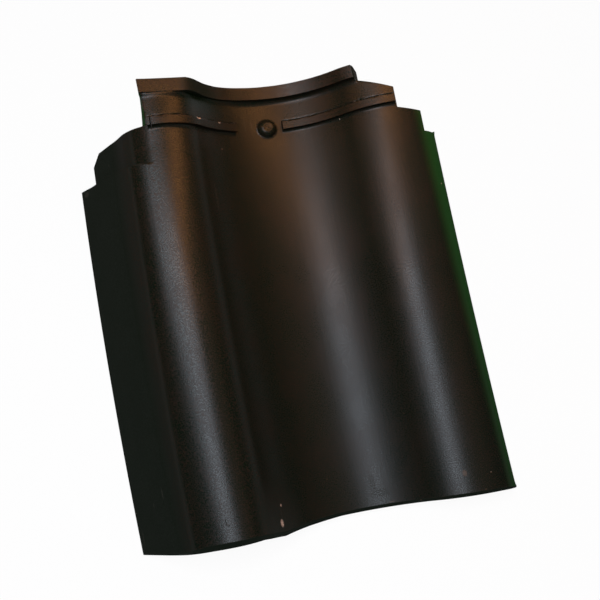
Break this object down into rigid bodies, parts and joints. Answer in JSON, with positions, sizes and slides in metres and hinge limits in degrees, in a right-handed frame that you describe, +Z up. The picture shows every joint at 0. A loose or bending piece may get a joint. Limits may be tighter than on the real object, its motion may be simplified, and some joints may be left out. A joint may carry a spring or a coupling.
{
  "type": "clay roof tile",
  "caption": "S-shaped fired clay roof tile with a high cover roll, a water trough, a low side crest, a head rim with a rib below it, and a batten nib.",
  "frame": {"origin": "on the floor, under the middle of the resting tile's box", "axes": "+Z up from the floor, +Y from foot to head, +X across the wave from the cover roll to the side crest"},
  "size_m": [0.3, 0.3622, 0.0866],
  "materials": {
    "engobed_clay": "satin black-brown engobe on fired clay"
  },
  "bodies": {
    "root": {"roof_tile": "engobed_clay"}
  },
  "joints": []
}
